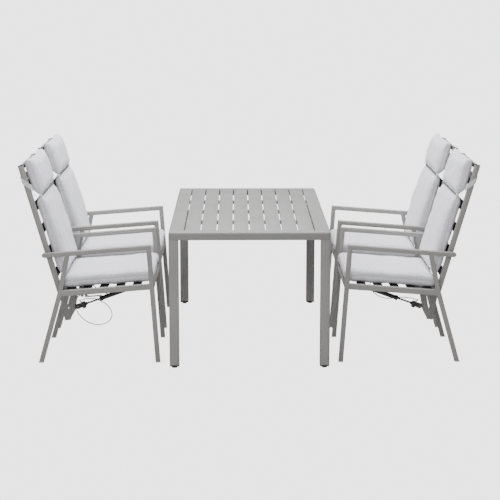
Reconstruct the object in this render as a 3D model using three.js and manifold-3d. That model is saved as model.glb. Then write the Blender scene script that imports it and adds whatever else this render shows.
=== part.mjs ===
// A patio dining set: a slatted aluminium table and four high-back armchairs whose
// backs recline on a lockable gas spring. Millimetres, +Z up. The origin is on the
// floor under the middle of the table; X runs across the table and Y along it.
import * as THREE from "three";
import { mergeVertices } from "three/addons/utils/BufferGeometryUtils.js";
import Module from "manifold-3d";

const wasm = await Module();
wasm.setup();

const GAP = 0.3; // left between two pieces that touch
const ROUND = 20; // sides of a round pin or bore

const table = {
  width: 855,
  length: 1597,
  height: 740,
  topThickness: 12, // slats, and the flat part of the rails round them
  sideRail: 79.5,
  endRail: 60,
  apronHeight: 44,
  apronWidth: 26,
  wall: 1.6,
  slats: 8,
  slot: 6.6,
  crossbars: 3,
  crossbarSpacing: 360,
  crossbarWidth: 25,
  crossbarHeight: 21,
  leg: 52,
  socket: 36, // opening over each leg, inside the corner of the apron
  footCap: 7,
  footPlug: 24,
  footPad: 10,
  footRadius: 15,
};

// Places in the side view of a chair are (x, z) from the floor under its middle, with
// x towards its front.
const chair = {
  fromTableMiddle: 813.5,
  apart: 780, // between the middles of the two chairs on one side
  width: 575,
  tubeAcross: 25,
  tubeDepth: 26,
  railDepth: 32,
  wall: 1.5,
  slope: 0.0765, // of the seat rail and the armrest, rising to the front
  frontFoot: 317.5,
  frontLean: 0.0685,
  rearFoot: -315,
  rearBend: -206,
  rearTop: -160,
  armHeight: 613, // of the armrest's middle line, over the chair's middle
  armTip: -283.5,
  railHeight: 398,
  studRadius: 6,
  studClearance: 0.6,
};

const back = {
  recline: Math.atan(0.283),
  length: 716,
  railDepth: 30,
  railAcross: 24,
  sideClearance: 2,
  below: 16, // rail end under the hinge
  topTube: 22,
  topTubeDepth: 22,
  hingeTubeRadius: 13,
  bracketThickness: 12,
};

const ladder = { across: 20, under: 12, over: 11, rear: -180, bar: 20, rearBar: -102 };
const frontBar = { rear: 278, front: 302 };

const webbing = { thickness: 2.5, width: 50, hem: 6, clearance: 0.3 };
const seatStraps = { first: 210, pitch: -90, count: 5 };
const backStraps = { first: 111, pitch: 125, count: 5, topWidth: 20 };

const cushion = { width: 490, overStraps: 0.4 };
const seatPad = { rear: -190, front: 306, thickness: 78, corner: 34 };
const overSeatPad = 7.9; // from the seat pad's top to the back pad, along the back
const backLean = back.recline + Math.atan(chair.slope); // of the back from square to the seat
const backPad = { top: 538, thickness: 74, corner: 32 };
backPad.bottom = Math.round((overSeatPad + seatPad.thickness / Math.cos(backLean)) * 10) / 10;
const headPad = { bottom: 543, top: 736, corner: 30, neckRear: 40, neckFront: 66 };
const headBand = { width: 24, rear: 640, front: 564, thickness: 1.8, clearance: 0.8 };

const spring = {
  anchor: new THREE.Vector2(202, -43), // along and under the seat
  lug: new THREE.Vector2(-140, 248),
  pinRadius: 4,
  eyeClearance: 0.3,
  looseEye: 8.4, // the lug's eye leaves room for the arc that the lug swings through
  exposedRod: 130, // from the lug to the mouth of the cylinder
  cylinderRadius: 12,
  collarRadius: 14,
  collar: 16,
  boreRadius: 10,
  rodRadius: 5,
  rodClearance: 0.6,
  pistonRadius: 9.4,
};

const lever = {
  pivot: -65,
  under: 8, // the pivot below the rail
  front: 20,
  thickness: 4,
  frontGap: 9.5,
  pinRadius: 3,
  pinClearance: 0.3,
  cheek: 5,
  bracket: 4,
  inset: 1.5, // from the outer face of the rail
};

const cable = { radius: 2.5, sides: 8, steps: 50 };
// Release cables run from the spring's head to the stop behind the lever, as (x, y, z)
// in the chair. On the two left chairs the slack hangs in a loop; on the two right
// chairs it is tucked up under the seat.
const loopedCable = [
  [-119, 0, 282], [-103, 6, 289], [-76, 12, 289], [-43, 18, 287], [-17, 14, 276],
  [12, 0, 265], [39, -20, 241], [52, -40, 212], [46, -60, 189], [22, -80, 172],
  [-19, -100, 167], [-49, -115, 176], [-79, -130, 193], [-106, -145, 220],
  [-123, -158, 247], [-133, -170, 272], [-134, -184, 296], [-127, -202, 322],
  [-120, -224, 344], [-109, -242, 361], [-96, -250, 369],
];
const tuckedCable = [
  [-119, 0, 282], [-103, -7, 289], [-76, -15, 290], [-43, -21, 291], [-12, -22, 290],
  [20, -12, 287], [58, -2, 292], [97, -2, 308], [124, -24, 328], [134, -60, 346],
  [124, -104, 358], [84, -146, 363], [30, -172, 364], [-30, -186, 363],
  [-90, -190, 360], [-138, -196, 357], [-160, -214, 358], [-156, -236, 362],
  [-130, -248, 366], [-96, -250, 369],
];

const finishes = {
  frame: { color: 0x96928e, roughness: 0.55, metalness: 0.35 },
  top: { color: 0xb4b2b2, roughness: 0.5, metalness: 0.35 },
  fabric: { color: 0xd0d0d6, roughness: 0.95, metalness: 0 },
  webbing: { color: 0x101012, roughness: 0.85, metalness: 0 },
  black: { color: 0x141416, roughness: 0.4, metalness: 0.2 },
  plastic: { color: 0x18181a, roughness: 0.6, metalness: 0 },
  cable: { color: 0x2c2c2e, roughness: 0.5, metalness: 0 },
};

// ---- shapes ----

function solid(geometry) {
  const bare = geometry.index ? geometry.toNonIndexed() : geometry.clone();
  bare.deleteAttribute("normal");
  bare.deleteAttribute("uv");
  const merged = mergeVertices(bare, 1e-4);
  return new wasm.Manifold(
    new wasm.Mesh({
      numProp: 3,
      vertProperties: merged.attributes.position.array,
      triVerts: new Uint32Array(merged.index.array),
    }),
  );
}

function join(...bodies) {
  return bodies.reduce((whole, body) => whole.add(body));
}

function piece(name, body, finish) {
  const mesh = body.getMesh();
  const geometry = new THREE.BufferGeometry();
  geometry.setAttribute("position", new THREE.BufferAttribute(mesh.vertProperties, 3));
  geometry.setIndex(new THREE.BufferAttribute(mesh.triVerts, 1));
  geometry.computeVertexNormals();
  const made = new THREE.Mesh(geometry, new THREE.MeshStandardMaterial(finishes[finish]));
  made.name = name;
  return made;
}

function box([x0, x1], [y0, y1], [z0, z1]) {
  const geometry = new THREE.BoxGeometry(x1 - x0, y1 - y0, z1 - z0);
  return solid(geometry.translate((x0 + x1) / 2, (y0 + y1) / 2, (z0 + z1) / 2));
}

// An outline in the XZ plane, carried along Y.
function prism(outline, [y0, y1]) {
  const shape = Array.isArray(outline) ? new THREE.Shape(outline) : outline;
  const options = { depth: y1 - y0, bevelEnabled: false, curveSegments: 5 };
  const geometry = new THREE.ExtrudeGeometry(shape, options);
  return solid(geometry.rotateX(Math.PI / 2).translate(0, y1, 0));
}

// A round pin along Y.
function pin({ x, y: z }, radius, [y0, y1], sides = ROUND) {
  const geometry = new THREE.CylinderGeometry(radius, radius, y1 - y0, sides);
  return solid(geometry.translate(x, (y0 + y1) / 2, z));
}

// A solid turned round the X axis, from (x, radius) points that start and end on it.
function turned(profile, sides = ROUND) {
  const points = profile.map(([x, radius]) => new THREE.Vector2(radius, x));
  return solid(new THREE.LatheGeometry(points, sides).rotateZ(-Math.PI / 2));
}

function at(x, z) {
  return new THREE.Vector2(x, z);
}

// The outline of a strip of one width along a path, with mitred bends. Its first end
// is level with the floor or square to the path, and its last end is square.
function strip(path, width, firstEnd = "square") {
  const edge = (side) =>
    path.map((point, i) => {
      const before = i > 0 ? point.clone().sub(path[i - 1]).normalize() : null;
      const after = i < path.length - 1 ? path[i + 1].clone().sub(point).normalize() : null;
      const heading = at(0, 0).add(before || after).add(after || before).normalize();
      const reach = (side * width) / 2 / heading.dot(after || before);
      if (i === 0 && firstEnd === "level") {
        return point.clone().add(at((-side * width) / 2 / heading.y, 0));
      }
      return point.clone().add(at(-heading.y * reach, heading.x * reach));
    });
  return [...edge(1), ...edge(-1).reverse()];
}

function roundedBlock([x0, x1], [z0, z1], radius) {
  const shape = new THREE.Shape();
  shape.moveTo(x0 + radius, z0);
  shape.lineTo(x1 - radius, z0);
  shape.absarc(x1 - radius, z0 + radius, radius, -Math.PI / 2, 0, false);
  shape.absarc(x1 - radius, z1 - radius, radius, 0, Math.PI / 2, false);
  shape.absarc(x0 + radius, z1 - radius, radius, Math.PI / 2, Math.PI, false);
  shape.absarc(x0 + radius, z0 + radius, radius, Math.PI, 1.5 * Math.PI, false);
  return shape;
}

function span(middle, width) {
  return [middle - width / 2, middle + width / 2];
}

// The same piece on the chair's left (side 1) or right (side -1).
function onSide(side, inner, outer) {
  return side > 0 ? [inner, outer] : [-outer, -inner];
}

// ---- table ----

function tableTopFrame() {
  const { width, length, height, topThickness, sideRail, endRail, wall } = table;
  const { apronHeight, apronWidth, leg, socket } = table;
  const under = height - apronHeight;
  const ring = (outer, thicknessX, thicknessY, z) =>
    box(span(0, width - 2 * outer), span(0, length - 2 * outer), z).subtract(
      box(
        span(0, width - 2 * thicknessX),
        span(0, length - 2 * thicknessY),
        [z[0] - 1, z[1] + 1],
      ),
    );
  const plate = ring(0, sideRail, endRail, [height - topThickness, height]);
  const apron = ring(0, apronWidth, apronWidth, [under, height]);
  const corners = [];
  const sockets = [];
  for (const x of [-1, 1]) {
    for (const y of [-1, 1]) {
      const cx = x * (width / 2 - leg / 2);
      const cy = y * (length / 2 - leg / 2);
      const z = [under, height - topThickness + 1];
      corners.push(box(span(cx, leg), span(cy, leg), z));
      sockets.push(box(span(cx, socket), span(cy, socket), [under - 1, height - wall]));
    }
  }
  const voids = join(
    ring(wall, sideRail - wall, endRail - wall, [height - topThickness + wall, height - wall]),
    ring(wall, apronWidth - wall, apronWidth - wall, [under + wall, height - wall]),
    ...sockets,
  );
  return join(plate, apron, ...corners).subtract(voids);
}

function tableSlats() {
  const { width, length, height, topThickness, sideRail, endRail, wall } = table;
  const { slats, slot, crossbars, crossbarSpacing, crossbarWidth, crossbarHeight } = table;
  const opening = width - 2 * sideRail;
  const slatWidth = (opening - (slats + 1) * slot) / slats;
  const pitch = slatWidth + slot;
  const slatLength = length - 2 * endRail - 2 * GAP;
  const z = [height - topThickness - 1, height];
  const bodies = [];
  const voids = [];
  for (let i = 0; i < slats; i++) {
    const x = (i - (slats - 1) / 2) * pitch;
    bodies.push(box(span(x, slatWidth), span(0, slatLength), z));
    voids.push(
      box(span(x, slatWidth - 2 * wall), span(0, slatLength + 2), [z[0] + wall, z[1] - wall]),
    );
  }
  const barLength = width - 2 * table.apronWidth - 2 * GAP;
  for (let i = 0; i < crossbars; i++) {
    const y = span((i - (crossbars - 1) / 2) * crossbarSpacing, crossbarWidth);
    const top = height - topThickness - GAP;
    bodies.push(box(span(0, barLength), y, [top - crossbarHeight, top]));
    const inside = [y[0] + wall, y[1] - wall];
    voids.push(
      box(span(0, barLength + 2), inside, [top - crossbarHeight + wall, top - 1 - wall]),
    );
  }
  return join(...bodies).subtract(join(...voids));
}

function tableLeg(x, y) {
  const { width, length, height, apronHeight, leg, wall, footPad, footCap } = table;
  const cx = x * (width / 2 - leg / 2);
  const cy = y * (length / 2 - leg / 2);
  const z = [footPad + footCap + GAP, height - apronHeight - GAP];
  const inside = leg - 2 * wall;
  return box(span(cx, leg), span(cy, leg), z).subtract(
    box(span(cx, inside), span(cy, inside), [z[0] - 1, z[1] + 1]),
  );
}

function tableFoot(x, y) {
  const { width, length, leg, wall, footPad, footCap, footPlug, footRadius } = table;
  const cx = x * (width / 2 - leg / 2);
  const cy = y * (length / 2 - leg / 2);
  const inside = leg - 2 * wall - 2 * GAP;
  const pad = new THREE.CylinderGeometry(footRadius, footRadius, footPad + 1, ROUND);
  return join(
    solid(pad.rotateX(Math.PI / 2).translate(cx, cy, (footPad + 1) / 2)),
    box(span(cx, leg), span(cy, leg), [footPad, footPad + footCap]),
    box(span(cx, inside), span(cy, inside), [footPad, footPad + footCap + footPlug]),
  );
}

// ---- chair ----

function railAt(x) {
  return at(x, chair.railHeight + chair.slope * x);
}

function armAt(x) {
  return at(x, chair.armHeight + chair.slope * x);
}

const hinge = railAt(chair.rearBend);
const seatTilt = Math.atan(chair.slope);

// A point along and over the seat, as the chair's own (x, z).
function onSeat(point) {
  return point.clone().rotateAround(at(0, 0), seatTilt).add(at(0, chair.railHeight));
}

// The chair's (x, z) as a place forward of the back and up along it, from the hinge.
function onBack(x, z) {
  return at(x, z).sub(hinge).rotateAround(at(0, 0), -back.recline);
}

const springAnchor = onSeat(spring.anchor);
const springAxis = springAnchor.clone().sub(spring.lug);
const springLength = springAxis.length();

function frontCorner() {
  const { frontFoot, frontLean, armHeight, slope } = chair;
  const x = (frontFoot - frontLean * armHeight) / (1 + frontLean * slope);
  return armAt(x);
}

function leverPivot() {
  const under = chair.railDepth / 2 + lever.under;
  return railAt(lever.pivot).sub(at(0, under));
}

function sideFrame(side) {
  const { width, tubeAcross, tubeDepth, railDepth, wall, frontFoot, rearFoot } = chair;
  const outer = width / 2;
  const inner = outer - tubeAcross;
  const across = onSide(side, inner, outer);
  const inside = onSide(side, inner + wall, outer - wall);
  const corner = frontCorner();
  const tip = armAt(chair.armTip);
  const front = [at(frontFoot, 0), corner, tip];
  const rear = [at(rearFoot, 0), hinge, armAt(chair.rearTop)];
  const rail = [hinge, railAt(frontFoot - chair.frontLean * chair.railHeight)];
  const lower = ([foot, next, ...rest]) => [
    foot.clone().add(foot.clone().sub(next).normalize().multiplyScalar(2)),
    next,
    ...rest,
  ];
  const hollow = 2 * wall;
  const tubes = join(
    prism(strip(front, tubeDepth, "level"), across),
    prism(strip(rear, tubeDepth, "level"), across),
    prism(strip(rail, railDepth), across),
    pin(tip, tubeDepth / 2, across),
  );
  const voids = join(
    prism(strip(lower(front), tubeDepth - hollow, "level"), inside),
    prism(strip(lower(rear), tubeDepth - hollow, "level"), inside),
    prism(strip(rail, railDepth - hollow), inside),
  );
  const stud = onSide(side, inner - back.railAcross + 1, outer - 1);
  const frame = tubes.subtract(voids).add(pin(hinge, chair.studRadius, stud));
  return side > 0 ? frame : frame.add(leverMount(inner, outer));
}

// Bracket and pin of the release lever, and the stop that its cable ends in.
function leverMount(inner, outer) {
  const pivot = leverPivot();
  const middle = (inner + outer) / 2;
  const under = railAt(lever.pivot).y - chair.railDepth / 2;
  const { bracket, cheek, pinRadius, inset } = lever;
  const stopRear = cable.last[0] + 2;
  return join(
    box(span(pivot.x, 14), [-middle - bracket / 2, -middle + bracket / 2], [
      pivot.y - pinRadius - 2,
      under + 1,
    ]),
    pin(pivot, pinRadius, [-outer + inset + 1, -inner - inset - 1]),
    box([stopRear, stopRear + 14], [-inner - 8, -inner + 17], [pivot.y - 7, under + 1]),
  );
}

function releaseLever() {
  const pivot = leverPivot();
  const outer = chair.width / 2;
  const inner = outer - chair.tubeAcross;
  const { thickness, frontGap, front, cheek, inset, pinRadius, pinClearance } = lever;
  const under = railAt(front).y - chair.railDepth / 2;
  const tip = at(front, under - frontGap - thickness / 2);
  const heel = at(pivot.x + 12, pivot.y - 3);
  const whole = [-outer + inset, -inner - inset];
  const cheeks = [
    [whole[0], whole[0] + cheek],
    [whole[1] - cheek, whole[1]],
  ];
  const sides = cheeks.map((y) =>
    join(
      pin(pivot, pinRadius + 3.4, y),
      prism(strip([pivot, heel.clone().add(at(6, 0))], 2 * pinRadius), y),
    ),
  );
  const holes = pin(pivot, pinRadius + pinClearance, [-outer, -inner]);
  const paddle = prism(strip([heel, tip], thickness), whole);
  return join(paddle, ...sides).subtract(holes);
}

// The ladder of tubes that is bolted between the two sides and carries the straps.
function seatFrame() {
  const { width, tubeAcross, railDepth, wall } = chair;
  const outer = width / 2 - tubeAcross - 0.5;
  const inner = outer - ladder.across;
  const { bar, rearBar } = ladder;
  const z = [-ladder.under, ladder.over];
  const deep = [-railDepth / 2, railDepth / 2];
  const shrink = ([a, b]) => [a + wall, b - wall];
  const bodies = [box([frontBar.rear, frontBar.front], [-outer, outer], deep)];
  const voids = [box(shrink([frontBar.rear, frontBar.front]), shrink([-outer, outer]), shrink(deep))];
  for (const x of [rearBar, spring.anchor.x]) {
    bodies.push(box(span(x, bar), [-inner - 1, inner + 1], z));
    voids.push(box(shrink(span(x, bar)), [-inner - wall - 1, inner + wall + 1], shrink(z)));
  }
  for (const side of [-1, 1]) {
    const y = onSide(side, inner, outer);
    bodies.push(box([ladder.rear, frontBar.rear + 1], y, z));
    voids.push(box([ladder.rear - 1, frontBar.rear + wall + 1], shrink(y), shrink(z)));
  }
  const { pinRadius } = spring;
  const plates = [-1, 1].map((side) =>
    join(
      box(span(spring.anchor.x, 20), onSide(side, 6, 10), [spring.anchor.y, -ladder.under + 1]),
      pin(spring.anchor, 10, onSide(side, 6, 10)),
    ),
  );
  return join(...bodies)
    .subtract(join(...voids))
    .add(join(...plates, pin(spring.anchor, pinRadius, [-10, 10])));
}

function strapLadder(places, across, [low, high]) {
  const hems = [-1, 1].map((side) =>
    box(
      [Math.min(...places.map(([a]) => a)), Math.max(...places.map(([, b]) => b))],
      onSide(side, across - webbing.hem, across),
      [low, high],
    ),
  );
  const straps = places.map((along) => box(along, [-across, across], [low, high]));
  return join(...hems, ...straps);
}

function seatWebbing() {
  const across = chair.width / 2 - chair.tubeAcross - 0.5;
  const low = ladder.over + webbing.clearance;
  const places = [];
  for (let i = 0; i < seatStraps.count; i++) {
    places.push(span(seatStraps.first + i * seatStraps.pitch, webbing.width));
  }
  return strapLadder(places, across, [low, low + webbing.thickness]);
}

function backHalf() {
  return chair.width / 2 - chair.tubeAcross - back.sideClearance;
}

function backWebbing() {
  const across = backHalf() - back.railAcross - webbing.clearance;
  const front = back.railDepth / 2 - 1;
  const places = [];
  for (let i = 0; i < backStraps.count; i++) {
    places.push(span(backStraps.first + i * backStraps.pitch, webbing.width));
  }
  places.push([back.length - backStraps.topWidth, back.length]);
  const flat = strapLadder(places, across, [-front, webbing.thickness - front]);
  return flat.rotate([0, -90, 0]);
}

// Rails, top tube and hinge tube of the back, with the bracket that the spring pushes.
function backFrame() {
  const { length, railDepth, railAcross, below, topTube, topTubeDepth } = back;
  const { wall } = chair;
  const outer = backHalf();
  const inner = outer - railAcross;
  const depth = span(0, railDepth);
  const shrink = ([a, b]) => [a + wall, b - wall];
  const bodies = [];
  const voids = [];
  const bores = [];
  for (const side of [-1, 1]) {
    const y = onSide(side, inner, outer);
    bodies.push(box(depth, y, [-below, length]));
    voids.push(box(shrink(depth), shrink(y), [-below - 1, length - wall]));
    const bore = chair.studRadius + chair.studClearance;
    bores.push(pin(at(0, 0), bore, onSide(side, inner + wall, outer + 1)));
  }
  const top = [length - topTube, length];
  bodies.push(box(span(0, topTubeDepth), [-inner - 1, inner + 1], top));
  voids.push(box(shrink(span(0, topTubeDepth)), [-inner - wall - 1, inner + wall + 1], shrink(top)));
  const frame = join(...bodies).subtract(join(...voids, ...bores));
  const hingeTube = pin(at(0, 0), back.hingeTubeRadius, [-inner - 1, inner + 1]);
  return join(frame, hingeTube, springBracket());
}

// Two arms under the hinge that meet in a point, with the spring's lug in front.
function springBracket() {
  const y = span(0, back.bracketThickness);
  const outline = (points) => points.map(([x, z]) => onBack(x, z));
  const rearArm = strip([onBack(-234, 352), onBack(-197.4, 171)], 34);
  const frontArm = outline([[-200, 192], [-183, 175.5], [-157, 224], [-134, 345], [-168, 352]]);
  const cap = outline([[-251, 348], [-217, 340], [-168, 340], [-134, 345], [-190, 395], [-222, 395]]);
  const lug = onBack(spring.lug.x, spring.lug.y);
  const neck = strip([onBack(spring.lug.x - 26, spring.lug.y), lug], 20);
  const boltHole = pin(onBack(-165, 282), spring.pinRadius, [y[0] - 1, y[1] + 1]);
  return join(prism(rearArm, y), prism(frontArm, y), prism(cap, y), prism(neck, y), pin(lug, 12, y))
    .subtract(boltHole)
    .add(pin(lug, spring.pinRadius, [-13, 13]));
}

function seatCushion() {
  const low = chair.railDepth / 2 + cushion.overStraps;
  const outline = roundedBlock(
    [seatPad.rear, seatPad.front],
    [low, low + seatPad.thickness],
    seatPad.corner,
  );
  return prism(outline, span(0, cushion.width));
}

// The back section and the head section are sewn together at a neck, and a band from
// the head section goes round the back's rails.
function backCushion() {
  const rear = back.railDepth / 2 + cushion.overStraps;
  const depth = [rear, rear + backPad.thickness];
  const across = span(0, cushion.width);
  const pads = [backPad, headPad].map(({ bottom, top, corner }) =>
    prism(roundedBlock(depth, [bottom, top], corner), across),
  );
  const neck = box([headPad.neckRear, headPad.neckFront], across, [
    backPad.top - 1,
    headPad.bottom + 1,
  ]);
  return join(...pads, neck, ...headBandLoop());
}

function headBandLoop() {
  const { width, rear, front, thickness, clearance } = headBand;
  const inner = backHalf() + clearance;
  const outer = inner + thickness;
  const behind = -back.railDepth / 2 - 1.5;
  const ahead = back.railDepth / 2 + 21;
  const half = width / 2;
  const slant = [
    at(behind - thickness, rear + half),
    at(behind - thickness, rear - half),
    at(ahead, front - half),
    at(ahead, front + half),
  ];
  const parts = [box([behind - thickness, behind], [-outer, outer], [rear - half, rear + half])];
  for (const side of [-1, 1]) {
    parts.push(prism(slant, onSide(side, inner, outer)));
    const tab = onSide(side, cushion.width / 2 - 1, outer);
    parts.push(box([ahead - 6, ahead], tab, [front - half, front + half]));
  }
  return parts;
}

// Cylinder of the gas spring, along X from the anchor at 0 back to its mouth.
function gasCylinder() {
  const { exposedRod, cylinderRadius, collarRadius, collar, boreRadius } = spring;
  const { rodRadius, rodClearance, pinRadius, eyeClearance } = spring;
  const mouth = exposedRod - springLength;
  const end = -21;
  const tube = turned([
    [end - 12, 0],
    [end - 12, boreRadius],
    [mouth + collar, boreRadius],
    [mouth + collar, rodRadius + rodClearance],
    [mouth, rodRadius + rodClearance],
    [mouth, collarRadius],
    [mouth + collar, collarRadius],
    [mouth + collar, cylinderRadius],
    [end, cylinderRadius],
    [end, 0],
  ]);
  const eye = join(box([end - 1, 0], [-5, 5], [-7, 7]), pin(at(0, 0), 10, [-5, 5]));
  return join(tube, eye).subtract(pin(at(0, 0), pinRadius + eyeClearance, [-6, 6]));
}

// Rod of the gas spring with its release head, along X from the lug at 0.
function gasRod() {
  const { exposedRod, collar, rodRadius, pistonRadius, looseEye } = spring;
  const half = back.bracketThickness / 2;
  const head = 12;
  const cheeks = [-1, 1].map((side) => {
    const y = onSide(side, half + 1, head);
    return join(box([0, 30], y, [-11, 11]), pin(at(0, 0), 14, y));
  });
  const forks = join(...cheeks).subtract(pin(at(0, 0), looseEye, [-head - 1, head + 1]));
  const piston = exposedRod + collar + 14;
  const nut = new THREE.CylinderGeometry(9, 9, 10, 6).rotateZ(Math.PI / 2).translate(50, 0, 0);
  return join(
    forks,
    box([21, 46], [-head, head], [-14, 15]),
    box([23, 43], [-head + 3, head - 3], [-21, -13]),
    prism([at(24, 14), at(31, 14), at(23, 33), at(17, 31)], [-3, 3]),
    solid(nut),
    turned([
      [45, 0],
      [45, rodRadius],
      [piston, rodRadius],
      [piston, pistonRadius],
      [piston + 12, pistonRadius],
      [piston + 12, 0],
    ]),
  );
}

function releaseCable(points) {
  const route = new THREE.CatmullRomCurve3(points.map((p) => new THREE.Vector3(...p)), false, "centripetal");
  const section = new THREE.Shape();
  for (let i = 0; i < cable.sides; i++) {
    const angle = (2 * Math.PI * i) / cable.sides;
    const corner = [cable.radius * Math.cos(angle), cable.radius * Math.sin(angle)];
    if (i === 0) section.moveTo(...corner);
    else section.lineTo(...corner);
  }
  const options = { steps: cable.steps, extrudePath: route, bevelEnabled: false };
  return solid(new THREE.ExtrudeGeometry(section, options));
}

function makeTable() {
  const group = new THREE.Group();
  group.add(piece("table_top_frame", tableTopFrame(), "top"));
  group.add(piece("table_slats", tableSlats(), "top"));
  for (const [x, sideways] of [[-1, "left"], [1, "right"]]) {
    for (const [y, along] of [[-1, "near"], [1, "far"]]) {
      const place = `${sideways}_${along}`;
      group.add(piece(`table_leg_${place}`, tableLeg(x, y), "frame"));
      group.add(piece(`table_foot_${place}`, tableFoot(x, y), "plastic"));
    }
  }
  return group;
}

function makeChair(name, route) {
  const group = new THREE.Group();
  group.add(piece(`${name}_side_frame_left`, sideFrame(1), "frame"));
  group.add(piece(`${name}_side_frame_right`, sideFrame(-1), "frame"));
  group.add(piece(`${name}_release_lever`, releaseLever(), "frame"));
  group.add(piece(`${name}_release_cable`, releaseCable(route), "cable"));

  const seat = new THREE.Group();
  seat.position.set(0, 0, chair.railHeight);
  seat.rotation.y = -seatTilt;
  seat.add(piece(`${name}_seat_frame`, seatFrame(), "frame"));
  seat.add(piece(`${name}_seat_webbing`, seatWebbing(), "webbing"));
  seat.add(piece(`${name}_seat_cushion`, seatCushion(), "fabric"));

  const backrest = new THREE.Group();
  backrest.position.set(hinge.x, 0, hinge.y);
  backrest.rotation.y = -back.recline;
  backrest.add(piece(`${name}_back_frame`, backFrame(), "frame"));
  backrest.add(piece(`${name}_back_webbing`, backWebbing(), "webbing"));
  backrest.add(piece(`${name}_back_cushion`, backCushion(), "fabric"));

  const slant = -springAxis.angle();
  const cylinder = piece(`${name}_gas_cylinder`, gasCylinder(), "black");
  cylinder.position.set(springAnchor.x, 0, springAnchor.y);
  cylinder.rotation.y = slant;
  const rod = piece(`${name}_gas_rod`, gasRod(), "black");
  rod.position.set(spring.lug.x, 0, spring.lug.y);
  rod.rotation.y = slant;

  group.add(seat, backrest, cylinder, rod);
  return group;
}

cable.last = loopedCable[loopedCable.length - 1];
const set = new THREE.Group();
set.add(makeTable());
const seats = [
  ["chair_1", -1, -1, loopedCable],
  ["chair_2", -1, 1, loopedCable],
  ["chair_3", 1, -1, tuckedCable],
  ["chair_4", 1, 1, tuckedCable],
];
for (const [name, x, y, route] of seats) {
  const made = makeChair(name, route);
  made.position.set(x * chair.fromTableMiddle, (y * chair.apart) / 2, 0);
  made.rotation.z = x > 0 ? Math.PI : 0;
  set.add(made);
}

export default set;
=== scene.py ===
"""Looks of a patio dining set: a slatted table and four reclining armchairs with cushions.

Every chair is made once, in its own place (x towards its front, y to its left, z up from
the floor under its middle), and then copied to the four places round the table.
"""

import math

import bmesh
import bpy
import numpy as np
from mathutils import Matrix, Vector, noise


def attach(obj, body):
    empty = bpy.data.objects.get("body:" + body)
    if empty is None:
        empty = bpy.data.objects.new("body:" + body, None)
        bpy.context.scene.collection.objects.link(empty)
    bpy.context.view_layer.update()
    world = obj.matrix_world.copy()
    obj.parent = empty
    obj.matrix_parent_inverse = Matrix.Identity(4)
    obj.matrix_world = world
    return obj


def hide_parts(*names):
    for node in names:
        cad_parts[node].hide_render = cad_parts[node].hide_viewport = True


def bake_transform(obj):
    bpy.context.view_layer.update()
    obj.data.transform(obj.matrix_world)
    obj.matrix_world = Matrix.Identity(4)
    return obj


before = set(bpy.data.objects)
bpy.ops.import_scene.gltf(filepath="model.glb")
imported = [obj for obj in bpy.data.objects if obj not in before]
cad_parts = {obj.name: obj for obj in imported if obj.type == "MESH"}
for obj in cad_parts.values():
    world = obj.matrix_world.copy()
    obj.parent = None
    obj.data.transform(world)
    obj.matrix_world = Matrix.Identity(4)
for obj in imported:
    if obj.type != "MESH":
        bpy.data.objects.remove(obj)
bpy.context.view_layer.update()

# ---- places and sizes, in metres ----

CHAIR_PLACES = {
    "chair_1": (-0.8135, -0.39, 0.0),
    "chair_2": (-0.8135, 0.39, 0.0),
    "chair_3": (0.8135, -0.39, math.pi),
    "chair_4": (0.8135, 0.39, math.pi),
}
OUTER, TUBE = 0.2875, 0.025  # outer face of a chair's side, and the width of its tubes
INNER = OUTER - TUBE
SLOPE = 0.0765
RAIL_Z, ARM_Z = 0.398, 0.613
FRONT_FOOT, FRONT_LEAN = 0.3175, 0.0685  # a front leg's place on the floor, and its lean
REAR_FOOT, REAR_LEAN = -0.315, 0.285
ARM_END = -0.2835
HINGE = Vector((-0.206, RAIL_Z - 0.206 * SLOPE))
RECLINE = math.atan(0.283)
LUG = Vector((-0.140, 0.248))  # the gas spring's rear pin
ANCHOR_X, ANCHOR_Z = 0.202, -0.043  # its front pin, in the seat's own place
LEVER_PIVOT = Vector((-0.065, RAIL_Z - 0.065 * SLOPE - 0.024))
LADDER = INNER - 0.0005  # half the width of the seat's ladder
BACK_HALF = INNER - 0.002
BACK_RAIL = 0.024
SEAT_STRAPS = [0.210 - 0.090 * i for i in range(5)]
BACK_STRAPS = [0.111 + 0.125 * i for i in range(5)]
STRAP = 0.050
TABLE_X, TABLE_Y, TABLE_Z = 0.855, 1.597, 0.740
SIDE_RAIL, END_RAIL, APRON = 0.0795, 0.0600, 0.044  # widths of the top's rails, and their depth
LEG, CORNER = 0.052, 0.014  # a table leg's width, and the radius of its outer corner
CABLE_RADIUS = 0.0025

LOOPED_CABLE = [
    (-119, 0, 282), (-103, 6, 289), (-76, 12, 289), (-43, 18, 287), (-17, 14, 276),
    (12, 0, 265), (39, -20, 241), (52, -40, 212), (46, -60, 189), (22, -80, 172),
    (-19, -100, 167), (-49, -115, 176), (-79, -130, 193), (-106, -145, 220),
    (-123, -158, 247), (-133, -170, 272), (-134, -184, 296), (-127, -202, 322),
    (-120, -224, 344), (-109, -242, 361), (-96, -250, 369),
]
TUCKED_CABLE = [
    (-119, 0, 282), (-103, -7, 289), (-76, -15, 290), (-43, -21, 291), (-12, -22, 290),
    (20, -12, 287), (58, -2, 292), (97, -2, 308), (124, -24, 328), (134, -60, 346),
    (124, -104, 358), (84, -146, 363), (30, -172, 364), (-30, -186, 363),
    (-90, -190, 360), (-138, -196, 357), (-160, -214, 358), (-156, -236, 362),
    (-130, -248, 366), (-96, -250, 369),
]

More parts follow.
